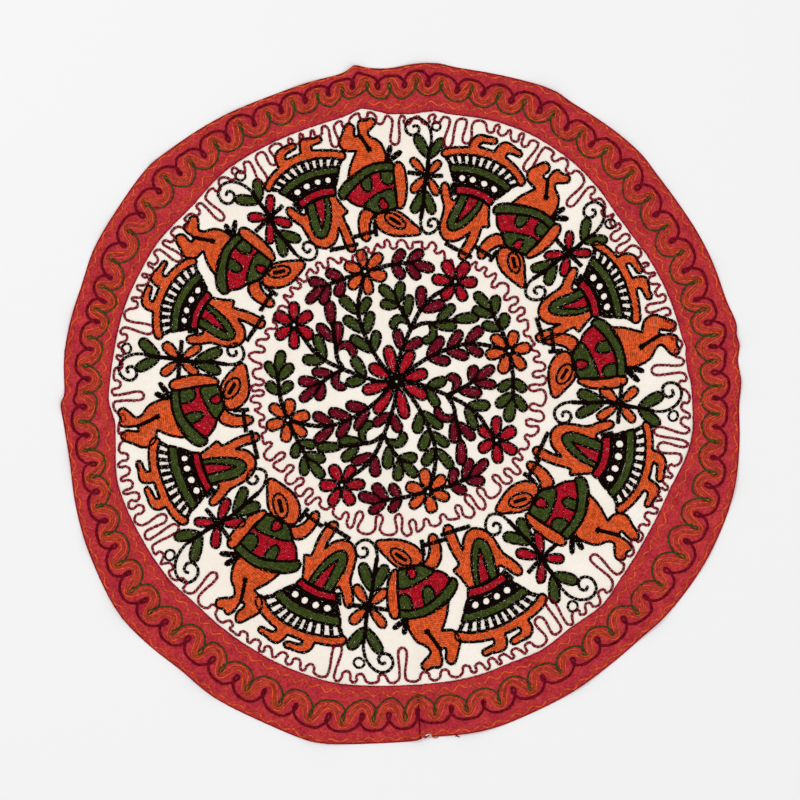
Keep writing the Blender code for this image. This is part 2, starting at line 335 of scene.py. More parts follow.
class ThreadSettings(bpy.types.PropertyGroup):
    black: colour_setting("Black thread", "Colour of outlines and stems", (0.005, 0.0014, 0.0006))
    orange: colour_setting("Orange thread", "Colour of skin and petals", (0.76, 0.108, 0.024))
    red: colour_setting("Red thread", "Colour of petals and coats", (0.462, 0.007, 0.019))
    maroon: colour_setting("Maroon thread", "Colour of leaves and loops", (0.187, 0.005, 0.0165))
    green: colour_setting("Green thread", "Colour of leaves and bands", (0.05, 0.073, 0.0125))
    white: colour_setting("White thread", "Colour of the flowers' knots", (0.84, 0.8, 0.74))


class StitchSettings(bpy.types.PropertyGroup):
    pitch: length_setting("Stitch", "Length of one chain stitch", 0.003, 0.0015, 0.01)
    width: length_setting("Line width", "Width of a line of chain stitch", 0.006, 0.001, 0.01)
    rows: length_setting(
        "Row distance", "Distance between the rows that fill a shape", 0.0031, 0.0015, 0.01,
    )
    unevenness: share_setting("Unevenness", "How uneven the hand stitches are")


# Curves of the pattern

CURVE_STEP = 0.8  # longest distance between two points of a curve
DROP_SIDES = ((0.08, 0.45), (0.27, 0.8), (0.5, 0.98), (0.75, 1.0), (0.93, 0.7))


def scaled(step, length):
    return step / max(np.hypot(*step), 1e-6) * length


def smooth_curve(points, closed=False):
    """A soft curve through the points. A point with a third value is a sharp corner."""
    spots = [np.array(point[:2], dtype=float) for point in points]
    sharp = [len(point) > 2 for point in points]
    count = len(spots)
    pieces = []
    for i in range(count if closed else count - 1):
        j = (i + 1) % count
        here, after = spots[i], spots[j]
        run = after - here
        chord = np.hypot(*run)
        leave, arrive = run, run
        if not sharp[i] and (closed or i > 0):
            leave = scaled(after - spots[i - 1], chord)
        if not sharp[j] and (closed or j < count - 1):
            arrive = scaled(spots[(j + 1) % count] - here, chord)
        steps = max(2, math.ceil(chord / CURVE_STEP))
        t = (np.arange(steps) / steps)[:, None]
        pieces.append(
            (2 * t**3 - 3 * t**2 + 1) * here + (t**3 - 2 * t**2 + t) * leave
            + (3 * t**2 - 2 * t**3) * after + (t**3 - t**2) * arrive
        )
    if not closed:
        pieces.append(spots[-1][None, :])
    return np.vstack(pieces)


def run_of(path):
    """Length of a path up to each of its points."""
    return np.concatenate(((0.0,), np.cumsum(np.hypot(*np.diff(path, axis=0).T))))


def read_at(stops, run, rows):
    """Rows of two values at some lengths of a path, between those at its points."""
    return np.column_stack([np.interp(stops, run, rows[:, k]) for k in (0, 1)])


def drop_shape(path, width):
    """Outline of a leaf or petal along a path: narrow at its foot and round at its tip."""
    spine = smooth_curve(path)
    run = run_of(spine)
    shares, widths = np.array(DROP_SIDES).T
    middle = read_at(shares * run[-1], run, spine)
    side = read_at(shares * run[-1], run, beside(spine, width / 2) - spine) * widths[:, None]
    return [(*spine[0], 1), *(middle + side), spine[-1], *(middle - side)[::-1]]


def direction(turn):
    """A step of one unit towards a turn."""
    return np.array((math.cos(math.radians(turn)), math.sin(math.radians(turn))))


def ring_points(turns, reaches):
    """Points at turns and reaches about the origin."""
    turns, reaches = np.broadcast_arrays(turns, reaches)
    angles = np.radians(turns)
    return np.column_stack((np.cos(angles), np.sin(angles))) * reaches[:, None]


def round_shape(middle, reach, count=8):
    turns = np.arange(count) * 2 * math.pi / count
    return [(middle[0] + reach * math.cos(t), middle[1] + reach * math.sin(t)) for t in turns]


def oval_shape(middle, half_length, half_width, turn):
    ring = np.array(round_shape((0, 0), 1.0)) * (half_length, half_width)
    return turned(ring, turn) + np.array(middle)


def turned(points, turn):
    angle = math.radians(turn)
    rows = np.array(((math.cos(angle), math.sin(angle)), (-math.sin(angle), math.cos(angle))))
    return np.asarray(points, dtype=float) @ rows


def beside(path, distance):
    """The path moved sideways, to its left."""
    run = np.gradient(path, axis=0)
    run /= np.maximum(np.hypot(run[:, 0], run[:, 1]), 1e-6)[:, None]
    return path + np.column_stack((-run[:, 1], run[:, 0])) * distance


def inside(points, outline):
    """Which points lie inside a closed outline."""
    x, y = points[:, :1], points[:, 1:]
    ax, ay = outline[:, 0], outline[:, 1]
    bx, by = np.roll(ax, -1), np.roll(ay, -1)
    spans = (ay > y) != (by > y)
    rise = np.where(by == ay, 1e-9, by - ay)
    crossed = spans & (x < (bx - ax) * (y - ay) / rise + ax)
    return crossed.sum(axis=1) % 2 == 1


def clearance(points, outline):
    """Distance of each point to a closed outline."""
    run = np.roll(outline, -1, axis=0) - outline
    away = points[:, None, :] - outline
    share = (away * run).sum(axis=2) / np.maximum((run * run).sum(axis=1), 1e-9)
    nearest = away - np.clip(share, 0, 1)[:, :, None] * run
    return np.hypot(nearest[:, :, 0], nearest[:, :, 1]).min(axis=1)


# Placing a part of the pattern

LONG_WOBBLE, SHORT_WOBBLE = 1.1, 0.6


class Placement:
    """Turns points drawn about a motif's own middle into points of the whole pattern."""

    def __init__(self, middle, turn, reach=0.0, lean=0.0, size=1.0, wobble=None):
        self.offset = np.array(middle) + reach * direction(turn)
        self.turn = turn - 90.0 + lean
        self.size = size
        self.wobble = wobble

    def __call__(self, points):
        """The placed points, with the marks of sharp corners kept."""
        flat = np.array([point[:2] for point in points], dtype=float)
        if self.wobble is not None:
            flat = flat + self.shift(*flat.T)
        flat = turned(flat * self.size, self.turn) + self.offset
        return [(*spot, *point[2:]) for spot, point in zip(flat, points)]

    def shift(self, x, y):
        """A little unevenness, so that no two motifs are alike."""
        w = self.wobble
        return np.column_stack((
            LONG_WOBBLE * np.sin(y / 16 + 5 * w) + SHORT_WOBBLE * np.sin(x / 9 + 3 * w),
            LONG_WOBBLE * np.sin(x / 15 + 7 * w) + SHORT_WOBBLE * np.sin(y / 8 + 4 * w),
        ))


# Embroidery, gathered as rows of stitches: place, angle, length, width, lift and tone

DULL, EVEN, BRIGHT = 0.18, 0.38, 0.5  # tones of a thread
OUTLINE, FINE_OUTLINE = 0.74, 0.7  # widths of a shape's outline, as shares of a line's
LOOP_ORDER = 0.618  # scatters the open loops among the tight ones
OPEN_WIDER, FILL_WIDER = 1.12, 1.25  # open loops are wider, and the rows of a fill overlap
TWIN_GAP, TWIN_WIDTH, TWIN_STEP = 1.6, 0.7, 0.02  # the two lines of a thick one


def stitch_rows(spots, *values):
    """One row for each stitch of a line."""
    rows = np.empty((len(spots), 2 + len(values)))
    rows[:, :2] = spots
    for column, value in enumerate(values, 2):
        rows[:, column] = value
    return rows


class Embroidery:
    def __init__(self, settings):
        self.pitch = settings.pitch / UNIT
        self.width = settings.width / UNIT
        self.rows = settings.rows / UNIT
        self.unevenness = settings.unevenness
        self.open = defaultdict(list)
        self.tight = defaultdict(list)
        self.filling = defaultdict(list)

    def line(
        self, colour, path, closed=False, width=1.0, lift=0.12, loose=0.35, tone=EVEN, long=1.0,
    ):
        """Chain stitch along a path. A share of its loops is open, or all are fine with None."""
        path = np.asarray(path, dtype=float)
        if closed:
            path = np.vstack((path, path[:1]))
        run = run_of(path)
        count = max(1, round(run[-1] / (self.pitch * long)))
        spots = read_at(np.linspace(0.0, run[-1], count + 1), run, path)
        steps = np.diff(spots, axis=0)
        angles, lengths = np.arctan2(steps[:, 1], steps[:, 0]), np.hypot(*steps.T)
        rows = stitch_rows(spots[:-1], angles, lengths, self.width * width, lift, tone)
        if loose is None:
            self.filling[colour].append(rows)
            return
        loops = (np.arange(count) * LOOP_ORDER + abs(path[0].sum())) % 1.0 < loose
        rows[loops, 4] *= OPEN_WIDER
        self.open[colour].append(rows[loops])
        self.tight[colour].append(rows[~loops])

    def curve(self, colour, points, closed=False, **look):
        """A line of chain stitch on a soft curve."""
        self.line(colour, smooth_curve(points, closed), closed, **look)

    def thick_line(self, path, lift=0.14, loose=0.4):
        """Two black lines of chain stitch side by side."""
        for side in (-0.5, 0.5):
            row = beside(path, side * TWIN_GAP)
            self.line("black", row, width=TWIN_WIDTH, lift=lift + TWIN_STEP * side, loose=loose)

    def stem(self, points, **look):
        """A thick line on a soft curve."""
        self.thick_line(smooth_curve(points), **look)

    def fill(self, colour, outline, turn, holes=(), margin=1.0, lift=0.05):
        """Rows of stitches that fill a closed outline, to and fro."""
        level = turned(outline, -turn)
        low, high = level.min(axis=0) + margin, level.max(axis=0) - margin
        count = max(1, round((high[1] - low[1]) / self.rows))
        gap = (high[1] - low[1]) / count
        step = self.pitch / 4
        across = low[1] + (np.arange(count) + 0.5) * gap
        along = np.arange(low[0] - step, high[0] + 2 * step, step)
        places = turned(np.dstack(np.meshgrid(along, across)).reshape(-1, 2), turn)
        keep = inside(places, outline) & (clearance(places, outline) > margin)
        for hole in holes:
            keep &= ~inside(places, hole) & (clearance(places, hole) > margin)
        keep = keep.reshape(count, len(along)).astype(int)
        keep[:, 0] = keep[:, -1] = 0
        change = np.diff(keep, axis=1)
        rows = []
        for (k, first), (_, last) in zip(np.argwhere(change == 1), np.argwhere(change == -1)):
            length = (last - first) * step
            number = max(1, round(length / self.pitch))
            stitch = length / number
            ahead = 1 if k % 2 == 0 else -1
            begin = along[first] + step / 2 + (0 if ahead == 1 else length)
            stops = begin + ahead * stitch * np.arange(number)
            spots = turned(np.column_stack((stops, np.full(number, across[k]))), turn)
            angle = math.radians(turn) + (1 - ahead) * math.pi / 2
            rows.append(stitch_rows(spots, angle, stitch, gap * FILL_WIDER, lift, EVEN))
        if rows:
            self.filling[colour].append(np.vstack(rows))

    def motif(self, colour, points, turn, holes=(), width=OUTLINE, loose=0.2):
        """A filled shape with a black outline."""
        outline = smooth_curve(points, closed=True)
        self.fill(colour, outline, turn, [smooth_curve(hole, closed=True) for hole in holes])
        self.line("black", outline, closed=True, width=width, loose=loose)

    def drop(self, colour, place, path, width):
        """A leaf or petal, its rows along it."""
        foot, tip = place((path[0], path[-1]))
        turn = math.degrees(math.atan2(tip[1] - foot[1], tip[0] - foot[0]))
        self.motif(colour, place(drop_shape(path, width)), turn, width=FINE_OUTLINE, loose=0.28)

    def leaves(self, colour, place, leaves):
        for leaf in leaves:
            self.drop(colour, place, (leaf.foot, leaf.tip), leaf.width)


# Links of unit length and width: along, across and up
OPEN_RINGS = ((0.5, 0.37, 0.14), (1.0, 0.2, 0.14))
OPEN_TIPS = ((-0.3, 0.12, 0.03), (1.5, 0.05, 0.03))
TIGHT_PLACES, TIGHT_TIPS = (0.05, 0.9), (-0.35, 1.35)
FINE_PLACES, FINE_TIPS = (0.5,), (-0.95, 1.95)
LINK_RING = ((-0.55, -0.02), (-0.28, 0.28), (0.0, 0.11), (0.28, 0.28), (0.55, -0.02))


def verts_of(geometry):
    return [item for item in geometry if isinstance(item, bmesh.types.BMVert)]


def grain(bm, sides, reach, rings, tips):
    """One strand of a stitch, with a point at each end."""
    made = bmesh.ops.create_circle(bm, segments=sides, radius=reach, cap_ends=False)["verts"]
    bmesh.ops.rotate(
        bm, verts=made, cent=(0, 0, 0),
        matrix=Matrix.Rotation(math.radians(90), 3, "Y") @ Matrix.Rotation(math.pi, 3, "Z"),
    )
    first = list(made)
    bmesh.ops.translate(bm, verts=first, vec=rings[0])
    edges = list(dict.fromkeys(edge for vert in first for edge in vert.link_edges))
    ends = [(edges, tips[0])]
    for before, after in zip(rings, rings[1:]):
        grown = bmesh.ops.extrude_edge_only(bm, edges=edges)["geom"]
        verts = verts_of(grown)
        bmesh.ops.translate(bm, verts=verts, vec=Vector(after) - Vector(before))
        edges = [
            edge for edge in grown
            if isinstance(edge, bmesh.types.BMEdge) and all(v in verts for v in edge.verts)
        ]
    ends.append((edges, tips[1]))
    for edges, tip in ends:
        grown = bmesh.ops.extrude_edge_only(bm, edges=edges)["geom"]
        bmesh.ops.pointmerge(bm, verts=verts_of(grown), merge_co=tip)


def link_arrays(bm):
    """The points and faces of one chain stitch of unit length and width, in a fixed order."""
    bmesh.ops.triangulate(bm, faces=bm.faces[:])
    bmesh.ops.recalc_face_normals(bm, faces=bm.faces[:])
    verts = sorted(bm.verts, key=lambda vert: [round(value, 4) for value in vert.co])
    numbers = {vert: k for k, vert in enumerate(verts)}
    spots = np.array([vert.co[:] for vert in verts])
    faces = [[numbers[vert] for vert in face.verts] for face in bm.faces]
    starts = [face.index(min(face)) for face in faces]
    faces = sorted(face[start:] + face[:start] for face, start in zip(faces, starts))
    bm.free()
    return spots, np.array(faces)


def make_open_link():
    """A loop of two strands with the cloth between them."""
    bm = bmesh.new()
    grain(bm, 3, 0.25, OPEN_RINGS, OPEN_TIPS)
    half = bm.verts[:] + bm.edges[:] + bm.faces[:]
    other = bmesh.ops.duplicate(bm, geom=half)["geom"]
    bmesh.ops.scale(bm, verts=verts_of(other), vec=(1, -1, 1))
    return link_arrays(bm)


def make_tight_link(places, tips):
    """A loop drawn tight, with a groove between its strands, and full width at each place."""
    bm = bmesh.new()
    rings = [(place, 0.0, 0.0) for place in places]
    grain(bm, 5, 0.5, rings, [(tip, 0.0, 0.02) for tip in tips])
    for place in places:
        ring = sorted((v for v in bm.verts if abs(v.co.x - place) < 0.01), key=lambda v: v.co.y)
        for vert, spot in zip(ring, LINK_RING):
            vert.co = (place, *spot)
    return link_arrays(bm)


STEEPEST = 0.85  # a stitch on a steeper slope, such as the hem's edge, is laid level


class Surface:
    """The upper face of the laid cloths."""

    def __init__(self, names):
        bpy.context.view_layer.update()
        graph = bpy.context.evaluated_depsgraph_get()
        self.trees = [BVHTree.FromObject(bpy.data.objects[name], graph) for name in names]

    def at(self, spots):
        """Height and normal of the top of the cloths at each spot, in metres."""
        heights, normals = np.zeros(len(spots)), np.zeros((len(spots), 3))
        normals[:, 2] = 1.0
        down = Vector((0, 0, -1))
        for k, (x, y) in enumerate(spots):
            for tree in self.trees:
                hit, normal, _, _ = tree.ray_cast(Vector((x, y, 0.1)), down)
                if hit is not None and hit.z > heights[k]:
                    heights[k] = hit.z
                    normals[k] = normal if normal.z > STEEPEST else (0, 0, 1)
        return heights, normals


PLACE_SPREAD, ANGLE_SPREAD, WIDTH_SPREAD = 0.18, 0.1, 0.12  # at full unevenness
TONE_SPREAD = 0.19
SEED_STEP = 31  # each part of the pattern and each colour has its own random draws


def spread(link, rows, surface, random, unevenness):
    """Copies of a stitch laid on the cloth, as arrays of points, faces, tones and charts."""
    spots, faces = link
    count = len(rows)
    shift = random.normal(0, PLACE_SPREAD * unevenness, (count, 2))
    place = (rows[:, :2] + shift) * UNIT
    angle = rows[:, 2] + random.normal(0, ANGLE_SPREAD * unevenness, count)
    length = rows[:, 3] * UNIT
    width = rows[:, 4] * UNIT * (1 + random.normal(0, WIDTH_SPREAD * unevenness, count))
    heights, normals = surface.at(place)
    ahead = np.column_stack((np.cos(angle), np.sin(angle), np.zeros(count)))
    ahead -= normals * (ahead * normals).sum(axis=1)[:, None]
    ahead /= np.linalg.norm(ahead, axis=1)[:, None]
    left = np.cross(normals, ahead)
    feet = np.column_stack((place, heights)) + normals * (rows[:, 5] * UNIT)[:, None]
    points = (
        feet[:, None, :]
        + ahead[:, None, :] * (spots[None, :, :1] * length[:, None, None])
        + left[:, None, :] * (spots[None, :, 1:2] * width[:, None, None])
        + normals[:, None, :] * (spots[None, :, 2:] * width[:, None, None])
    )
    corners = faces[None, :, :] + (np.arange(count) * len(spots))[:, None, None]
    tones = rows[:, 6] + random.uniform(-TONE_SPREAD, TONE_SPREAD, count)
    charts = np.tile(spots[:, :2], (count, 1))
    return points.reshape(-1, 3), corners.reshape(-1, 3), np.repeat(tones, len(spots)), charts


def stitch_mesh(name, points, corners, tones, charts):
    mesh = bpy.data.meshes.new(name)
    mesh.vertices.add(len(points))
    mesh.vertices.foreach_set("co", points.ravel())
    mesh.loops.add(corners.size)
    mesh.loops.foreach_set("vertex_index", corners.ravel())
    mesh.polygons.add(len(corners))
    mesh.polygons.foreach_set("loop_start", np.arange(len(corners)) * 3)
    mesh.update(calc_edges=True)
    mesh.attributes.new("tone", "FLOAT", "POINT").data.foreach_set("value", tones)
    chart = mesh.uv_layers.new(name="thread")
    chart.data.foreach_set("uv", charts[corners.ravel()].ravel())
    mesh.shade_smooth()
    return mesh


def add_object(name, data):
    """A new object in the scene, at the origin."""
    item = bpy.data.objects.new(name, data)
    bpy.context.scene.collection.objects.link(item)
    return item


def sew(name, colour, embroidery, surface, seed):
    """One piece: all stitches of a colour in a part of the pattern."""
    random = np.random.default_rng(seed)
    kinds = (
        (embroidery.tight[colour], make_tight_link(TIGHT_PLACES, TIGHT_TIPS)),
        (embroidery.filling[colour], make_tight_link(FINE_PLACES, FINE_TIPS)),
        (embroidery.open[colour], make_open_link()),
    )
    parts = [
        spread(link, np.vstack(rows), surface, random, embroidery.unevenness)
        for rows, link in kinds if rows
    ]
    starts = np.cumsum([0] + [len(part[0]) for part in parts])
    corners = np.vstack([part[1] + start for part, start in zip(parts, starts)])
    points, tones, charts = (np.concatenate([part[k] for part in parts]) for k in (0, 2, 3))
    mesh = stitch_mesh(name, points, corners, tones, charts)
    mesh.materials.append(thread_material(colour))
    piece = add_object(name, mesh)
    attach(piece, "root")
    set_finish(piece, colour + "_thread")


def sew_all(group, embroidery, surface):
    """The pieces of one part of the pattern, one for each colour."""
    for k, colour in enumerate(sorted(set(embroidery.open) | set(embroidery.filling))):
        sew(f"{group}_{colour}", colour, embroidery, surface, len(group) * SEED_STEP + k)


# Materials

THREAD_ROUGHNESS, THREAD_GLOSS, CLOTH_ROUGHNESS, CLOTH_GLOSS = 0.62, 0.02, 0.88, 0.12
DARKEST, LIGHTEST = 0.35, 2.1  # shares of a thread's colour in its darkest and lightest stitch
# Slant and scale of the twist, and its painted shade: its bands darken the thread's colour by up
# to this share
TWIST_SLANT, TWIST_SCALE, TWIST_PAINTED_SHADE = math.radians(40), 2.2, 0.22
THREAD_RELIEF, CLOTH_RELIEF = (0.5, 0.0002), (0.25, 0.0003)  # strength and depth
SPECKLE_SCALE = 320.0
PATCH_CONTRAST, SPECKLE_CONTRAST = 0.16, 0.2


def add_node(tree, kind, **values):
    """A node with its settings and inputs, each a value or the output of another node."""
    node = tree.nodes.new(kind)
    for key, value in values.items():
        if key not in node.inputs:
            setattr(node, key, value)
        elif isinstance(value, bpy.types.NodeSocket):
            tree.links.new(value, node.inputs[key])
        else:
            node.inputs[key].default_value = value
    return node


def shader_of(material, colour, roughness, gloss):
    material.use_nodes = True
    material.diffuse_color = (*colour, 1.0)
    shader = material.node_tree.nodes["Principled BSDF"]
    values = {
        "Base Color": (*colour, 1.0), "Roughness": roughness, "Specular IOR Level": gloss,
        "Sheen Weight": gloss / 4, "Sheen Roughness": 0.5,
    }
    for name, value in values.items():
        shader.inputs[name].default_value = value
    return shader


def dress(tree, shader, colour, height, relief):
    """Gives a shader its colour and a fine relief."""
    strength, depth = relief
    bump = add_node(tree, "ShaderNodeBump", Strength=strength, Distance=depth, Height=height)
    tree.links.new(colour, shader.inputs["Base Color"])
    tree.links.new(bump.outputs["Normal"], shader.inputs["Normal"])


def multiplied(tree, first, second, share):
    return add_node(
        tree, "ShaderNodeMix", data_type="RGBA", blend_type="MULTIPLY", Factor=share, A=first,
        B=second,
    ).outputs["Result"]


def shade(colour, share):
    return (*(channel * share for channel in colour), 1.0)


def thread_material(colour):
    """Twisted cotton thread, each stitch a little lighter or darker, with painted shade darkening
    the grooves of its twist.
    """
    name = colour + "_thread"
    if name in bpy.data.materials:
        return bpy.data.materials[name]
    material = bpy.data.materials.new(name)
    tone = getattr(bpy.context.scene.tablecloth_threads, colour)
    shader = shader_of(material, tone, THREAD_ROUGHNESS, THREAD_GLOSS)
    tree = material.node_tree
    each = add_node(tree, "ShaderNodeAttribute", attribute_name="tone")
    ramp = add_node(
        tree, "ShaderNodeMix", data_type="RGBA", clamp_result=True, Factor=each.outputs["Fac"],
        A=shade(tone, DARKEST), B=shade(tone, LIGHTEST),
    )
    chart = add_node(tree, "ShaderNodeUVMap", uv_map="thread").outputs["UV"]
    slant = add_node(tree, "ShaderNodeMapping", Vector=chart, Rotation=(0, 0, TWIST_SLANT))
    twist = add_node(
        tree, "ShaderNodeTexWave", Vector=slant.outputs["Vector"], Scale=TWIST_SCALE,
    )
    # Painted shade: the twist's bands, which also make its bump, darken the colour in its grooves
    colours = multiplied(tree, ramp.outputs["Result"], twist.outputs["Color"], TWIST_PAINTED_SHADE)
    dress(tree, shader, colours, twist.outputs["Fac"], THREAD_RELIEF)
    return material


def mottled(tree, colour, shares, contrast, **texture):
    """A mix from darker to lighter than a colour, each channel by its own share."""
    noise = add_node(tree, "ShaderNodeTexNoise", **texture)
    strong = add_node(
        tree, "ShaderNodeMapRange", Value=noise.outputs["Fac"],
        **{"From Min": 0.5 - contrast, "From Max": 0.5 + contrast},
    )
    dark, light = (
        (*(channel * (1 + side * share) for channel, share in zip(colour, shares)), 1.0)
        for side in (-1, 1)
    )
    return add_node(
        tree, "ShaderNodeMix", data_type="RGBA", Factor=strong.outputs["Result"], A=dark, B=light,
    ).outputs["Result"]


def cloth_material(cloth, colour, settings):
    """Plain woven cotton, with uneven patches of dye and a fine speckle."""
    material = bpy.data.materials.new(cloth.slot)
    shader = shader_of(material, colour, CLOTH_ROUGHNESS, CLOTH_GLOSS)
    tree = material.node_tree
    place = add_node(tree, "ShaderNodeTexCoord").outputs["Object"]
    weave = add_node(tree, "ShaderNodeMath", operation="ADD")
    for socket, across in zip(weave.inputs, ("X", "Y")):
        threads = add_node(
            tree, "ShaderNodeTexWave", bands_direction=across, Vector=place,
            Scale=1.0 / (math.pi * settings.weave), Distortion=1.5, Detail=1.0,
        )
        tree.links.new(threads.outputs["Fac"], socket)
    patches = mottled(
        tree, colour, [2 * settings.mottle * share for share in cloth.patches], PATCH_CONTRAST,
        Vector=place, Scale=cloth.patch_scale, Detail=5.0, Roughness=0.65,
    )
    speckle = mottled(
        tree, (1, 1, 1), cloth.speckle, SPECKLE_CONTRAST,
        Vector=place, Scale=SPECKLE_SCALE, Detail=1.0, Roughness=0.6,
    )
    colours = multiplied(tree, patches, speckle, 1.0)
    dress(tree, shader, colours, weave.outputs["Value"], CLOTH_RELIEF)
    return material


# Cloths

# Node and piece, slot of the material, and its patches and speckle: scale, and share by channel
Cloth = namedtuple("Cloth", "node piece slot patch_scale patches speckle")
CENTRE = Cloth(
    "centre_cloth", "cream_round", "cream_cotton", 14.0, (0.03, 0.04, 0.06), (0.02, 0.03, 0.04),
)
BORDER = Cloth(
    "border", "red_ring", "red_cotton", 50.0, (0.17, 0.42, 0.06), (0.22, 0.55, 0.55),
)
CREASE_TURN, CREASE = math.radians(50), 0.9


def lay_cloth(cloth, colour, settings):
    """A smooth sheet in the place of a plain one."""
    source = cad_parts[cloth.node]
    mesh = source.data.copy()
    mesh.name = cloth.piece
    bm = bmesh.new()
    bm.from_mesh(mesh)
    bmesh.ops.transform(bm, matrix=source.matrix_world, verts=bm.verts[:])
    bmesh.ops.remove_doubles(bm, verts=bm.verts[:], dist=0.00001)
    bmesh.ops.recalc_face_normals(bm, faces=bm.faces[:])
    bmesh.ops.join_triangles(
        bm, faces=bm.faces[:], angle_face_threshold=math.radians(40),
        angle_shape_threshold=math.radians(60),
    )
    crease = bm.edges.layers.float.new("crease_edge")
    for edge in bm.edges:
        if len(edge.link_faces) == 2 and edge.calc_face_angle() > CREASE_TURN:
            edge[crease] = CREASE
    bm.to_mesh(mesh)
    bm.free()
    mesh.shade_smooth()
    mesh.materials.clear()
    mesh.materials.append(cloth_material(cloth, colour, settings))
    piece = add_object(cloth.piece, mesh)
    finer = piece.modifiers.new("finer", "SUBSURF")
    finer.levels = finer.render_levels = settings.smoothing
    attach(piece, "root")
    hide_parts(cloth.node)
    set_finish(piece, cloth.slot)


class Edges:
    """The border's edges round the cloth, in units, read at each column of its grid."""

    def __init__(self):
        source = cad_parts["border"]
        spots = np.array([(source.matrix_world @ vert.co)[:2] for vert in source.data.vertices])
        turns = np.degrees(np.arctan2(spots[:, 1], spots[:, 0])) % 360.0
        turns[turns > 359.9] -= 360.0
        reaches = np.hypot(spots[:, 0], spots[:, 1]) / UNIT
        order = np.argsort(turns)
        starts = np.nonzero(np.diff(turns[order]) > 0.1)[0] + 1
        columns = np.split(order, starts)
        self.turns = [turns[column].mean() for column in columns]
        self.seams = [reaches[column].min() for column in columns]
        self.hems = [reaches[column].max() for column in columns]

    def seam(self, turn):
        return np.interp(np.mod(turn, 360), self.turns, self.seams, period=360)

    def hem(self, turn):
        return np.interp(np.mod(turn, 360), self.turns, self.hems, period=360)

    def path(self, turns, insets, from_seam=False):
        """Points at turns, so far inside the hem or outside the seam."""
        reaches = self.seam(turns) + insets if from_seam else self.hem(turns) - insets
        return ring_points(turns, reaches)


# Parts of the pattern


def bough_place(turn):
    return Placement(MEDALLION_MIDDLE, turn + 90.0, wobble=turn / 50)


def work_long_bough(work, turn, leaf_colour, cluster_colour):
    place = bough_place(turn)
    work.leaves(leaf_colour, place, LONG_LEAVES)
    work.stem(place(LONG_STEM))
    for side in (1, -1):
        for leaf in CLUSTER_LEAVES:
            path = [(a, b * side) for a, b in (leaf.foot, leaf.tip)]
            work.drop(cluster_colour, place, path, leaf.width)
        work.stem(place([(a, b * side) for a, b in CLUSTER_STEM]))
    work_flower(work, place, (LONG_REACH, 2), "orange")


def work_short_bough(work, turn, leaf_colour, side_colour):
    place = bough_place(turn)
    work.leaves(side_colour, place, SHORT_SIDE_LEAVES)
    work.leaves(leaf_colour, place, SHORT_NEAR_LEAVES)
    for hook in SHORT_HOOKS:
        work.drop(side_colour, place, hook, HOOK_WIDTH)
    for stem in (SHORT_STEM, *SHORT_SIDE_STEMS):
        work.stem(place(stem))
    work_flower(work, place, (SHORT_REACH, 1), "red")


def work_flower(work, place, middle, colour):
    """Six petals round a middle, with a white knot."""
    for k in range(6):
        path = [np.array(middle) + direction(60 * k) * reach for reach in FLOWER_PETAL]
        work.drop(colour, place, path, FLOWER_PETAL_WIDTH)
    work_knot(work, place, middle, FLOWER_KNOT)


def work_knot(work, place, middle, reach):
    """A black ring with a white knot on it."""
    ring, knot = place(round_shape(middle, reach)), place(round_shape(middle, WHITE_KNOT, 4))
    work.curve("black", ring, closed=True, width=0.7, loose=0)
    work.curve("white", knot, closed=True, width=0.5, lift=0.5, loose=0)


def work_medallion(work):
    colours = ("green", "maroon")
    for k, turn in enumerate(FLOWER_TURNS_LONG):
        work_long_bough(work, turn, colours[k % 2], colours[1 - k % 2])
    for k, turn in enumerate(FLOWER_TURNS_SHORT):
        work_short_bough(work, turn, colours[1 - k % 2], colours[k % 2])
    place = Placement(MEDALLION_MIDDLE, 90.0)
    for turn, length in CENTRE_PETALS:
        path = [direction(turn) * reach for reach in (CENTRE_PETAL_FOOT, length)]
        work.drop("red", place, path, CENTRE_PETAL_WIDTH)
        work.thick_line(place([direction(turn) * reach for reach in CENTRE_RAY]))
    work_knot(work, place, (0, 0), CENTRE_KNOT)


def skirt_spot(share, height):
    """A point of the skirt: a share of half its width from its middle, and a height."""
    heights, halves, falls = np.array(SKIRT_SHAPE).T
    half, fall = np.interp(height, heights, halves), np.interp(height, heights, falls)
    return (share * half, height - fall * share * share)


def skirt_band(low, high):
    """Outline of a curved band across the skirt."""
    shares = np.linspace(-1, 1, 7)
    outline = []
    for row in ([skirt_spot(s, high) for s in shares], [skirt_spot(s, low) for s in -shares]):
        row[0] += (1,)
        row[-1] += (1,)
        outline += row
    return outline


def placed(spot):
    """The placement of a figure of the ring."""
    return Placement(RING_MIDDLE, spot.turn, spot.reach, spot.lean, spot.size, spot.wobble)


def work_woman(work, spot):
    place = placed(spot)
    level = place.turn
    work.motif("orange", place(SKIRT_HEM), level)
    work.motif("green", place(skirt_band(*GREEN_BAND)), level)
    work.motif("red", place(skirt_band(*RED_BAND)), level)
    for share in np.linspace(-COMB_REACH, COMB_REACH, COMB_SPOKES):
        ends = place([skirt_spot(share, height) for height in COMB_BAND])
        work.curve("black", ends, width=1.05, loose=0.3)
    middles = [skirt_spot(share, DOT_HEIGHT) for share in DOT_SHARES]
    dots = [place(round_shape(middle, DOT_REACH)) for middle in middles]
    work.motif("black", place(skirt_band(*DOTS_BAND)), level, holes=dots)
    for middle in middles:
        rim = place(round_shape(middle, DOT_REACH + DOT_RIM))
        work.curve("black", rim, closed=True, width=0.45, loose=0)
    veil, wedge = place(WOMAN_VEIL), place(WOMAN_WEDGE)
    work.motif("orange", place(WOMAN_BODY), level + 90, holes=[veil])
    work.motif("green", veil, level + 90, holes=[wedge])
    work.motif("red", wedge, level + 90)
    for stick in WOMAN_STICKS:
        work.stem(place(stick), lift=0.4)


def with_legs(heights, legs):
    """Heights in a figure, with what is past the top of its legs made longer or shorter."""
    heights = np.asarray(heights, dtype=float)
    return np.where(heights > LEG_START, LEG_START + (heights - LEG_START) * legs, heights)


